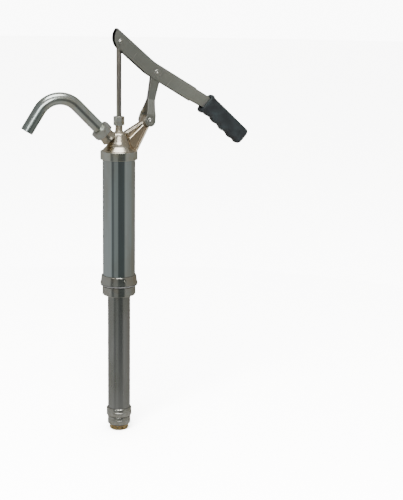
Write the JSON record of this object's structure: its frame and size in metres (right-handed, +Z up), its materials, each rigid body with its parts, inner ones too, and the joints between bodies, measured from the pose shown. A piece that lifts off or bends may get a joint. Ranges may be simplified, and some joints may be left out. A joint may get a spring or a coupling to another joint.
{
  "type": "fluid transfer pump",
  "caption": "Lever-action drum pump: upright chrome cylinder over a threaded bung base, head casting with gooseneck spout and fulcrum arm, rod driven by a gripped hand lever.",
  "frame": {"origin": "centre of the base's seat plane, where its gasket rests on the rim of a drum's bung, on the cylinder's axis", "axes": "+Z up along the cylinder and rod, +X towards the hand lever, the spout reaches towards -X; the lever's pivots run along Y"},
  "size_m": [0.4143, 0.066, 0.7098],
  "materials": {
    "chrome_tube": "bright polished chrome plate",
    "chrome_spout": "bright zinc or chrome plate on bent tube, lightly marked",
    "head": "nickel-plated casting, warm and bright",
    "adapter": "nickel-plated casting, warm and bright",
    "nuts": "plated steel, satin",
    "lever_steel": "zinc-plated pressed steel, satin grey-green",
    "rod_steel": "ground bright bar",
    "fixings": "zinc-plated steel",
    "valve_ball": "polished steel ball",
    "suction_steel": "zinc-plated thin tube",
    "brass_parts": "machined brass",
    "rubber": "black rubber, matt",
    "grip": "dipped black vinyl, soft shine"
  },
  "bodies": {
    "barrel": {"base_set_screw": "fixings", "bung_adapter": "adapter", "bung_gasket": "rubber", "cylinder_bottom_gasket": "rubber", "cylinder_top_gasket": "rubber", "cylinder_tube": "chrome_tube", "foot_valve_cage": "brass_parts", "foot_valve_seat": "brass_parts", "gland_nut": "nuts", "gland_packing": "rubber", "head_casting": "head", "lug_pin": "fixings", "lug_split_pin": "fixings", "lug_washer_far": "fixings", "lug_washer_near": "fixings", "spout_nut": "nuts", "spout_seal": "rubber", "suction_outer_collar": "fixings", "suction_outer_seal": "rubber", "suction_outer_tube": "suction_steel"},
    "foot_valve": {"foot_valve_ball": "valve_ball"},
    "link": {"fulcrum_bush": "brass_parts", "link_plate_far": "lever_steel", "link_plate_near": "lever_steel"},
    "lever": {"fulcrum_rivet_far": "fixings", "fulcrum_rivet_near": "fixings", "lever": "lever_steel", "lever_grip": "grip", "rod_pin": "fixings", "rod_pin_clip": "fixings"},
    "rod": {"piston_body": "brass_parts", "piston_nut": "fixings", "piston_rod": "rod_steel", "piston_seal": "rubber", "piston_valve_stop": "fixings"},
    "piston_valve": {"piston_valve_disc": "brass_parts"},
    "spout": {"spout_collar": "fixings", "spout_tube": "chrome_spout"},
    "inner_tube": {"suction_inner_tube": "suction_steel", "suction_strainer": "brass_parts"},
    "middle_tube": {"suction_middle_collar": "fixings", "suction_middle_seal": "rubber", "suction_middle_tube": "suction_steel"}
  },
  "joints": [
    {"name": "rod_slide", "type": "slide", "parent": "barrel", "child": "rod", "axis": [0, 0, 1], "range_m": [-0.089, 0]},
    {"name": "lever_swing", "type": "hinge", "parent": "rod", "child": "lever", "pos_m": [0, 0, 0.4217], "axis": [0, -1, 0], "range_deg": [0, 60]},
    {"name": "link_swing", "type": "hinge", "parent": "barrel", "child": "link", "pos_m": [0.051, 0, 0.2868], "axis": [0, 1, 0], "range_deg": [0, 9.3]},
    {"name": "piston_valve_lift", "type": "slide", "parent": "rod", "child": "piston_valve", "axis": [0, 0, 1], "range_m": [0, 0.003]},
    {"name": "foot_valve_lift", "type": "slide", "parent": "barrel", "child": "foot_valve", "axis": [0, 0, 1], "range_m": [0, 0.004]},
    {"name": "spout_swivel", "type": "hinge", "parent": "barrel", "child": "spout", "pos_m": [0, 0, 0.2405], "axis": [-0.7071, 0, 0.7071], "range_deg": [-90, 90]},
    {"name": "middle_tube_slide", "type": "slide", "parent": "barrel", "child": "middle_tube", "axis": [0, 0, -1], "range_m": [0, 0.2]},
    {"name": "inner_tube_slide", "type": "slide", "parent": "middle_tube", "child": "inner_tube", "axis": [0, 0, -1], "range_m": [0, 0.2]}
  ],
  "couplings": [
    {"joint": "rod_slide", "follows": "lever_swing", "m_per_rad": -0.084893},
    {"joint": "link_swing", "follows": "lever_swing", "ratio": 0.15375}
  ]
}
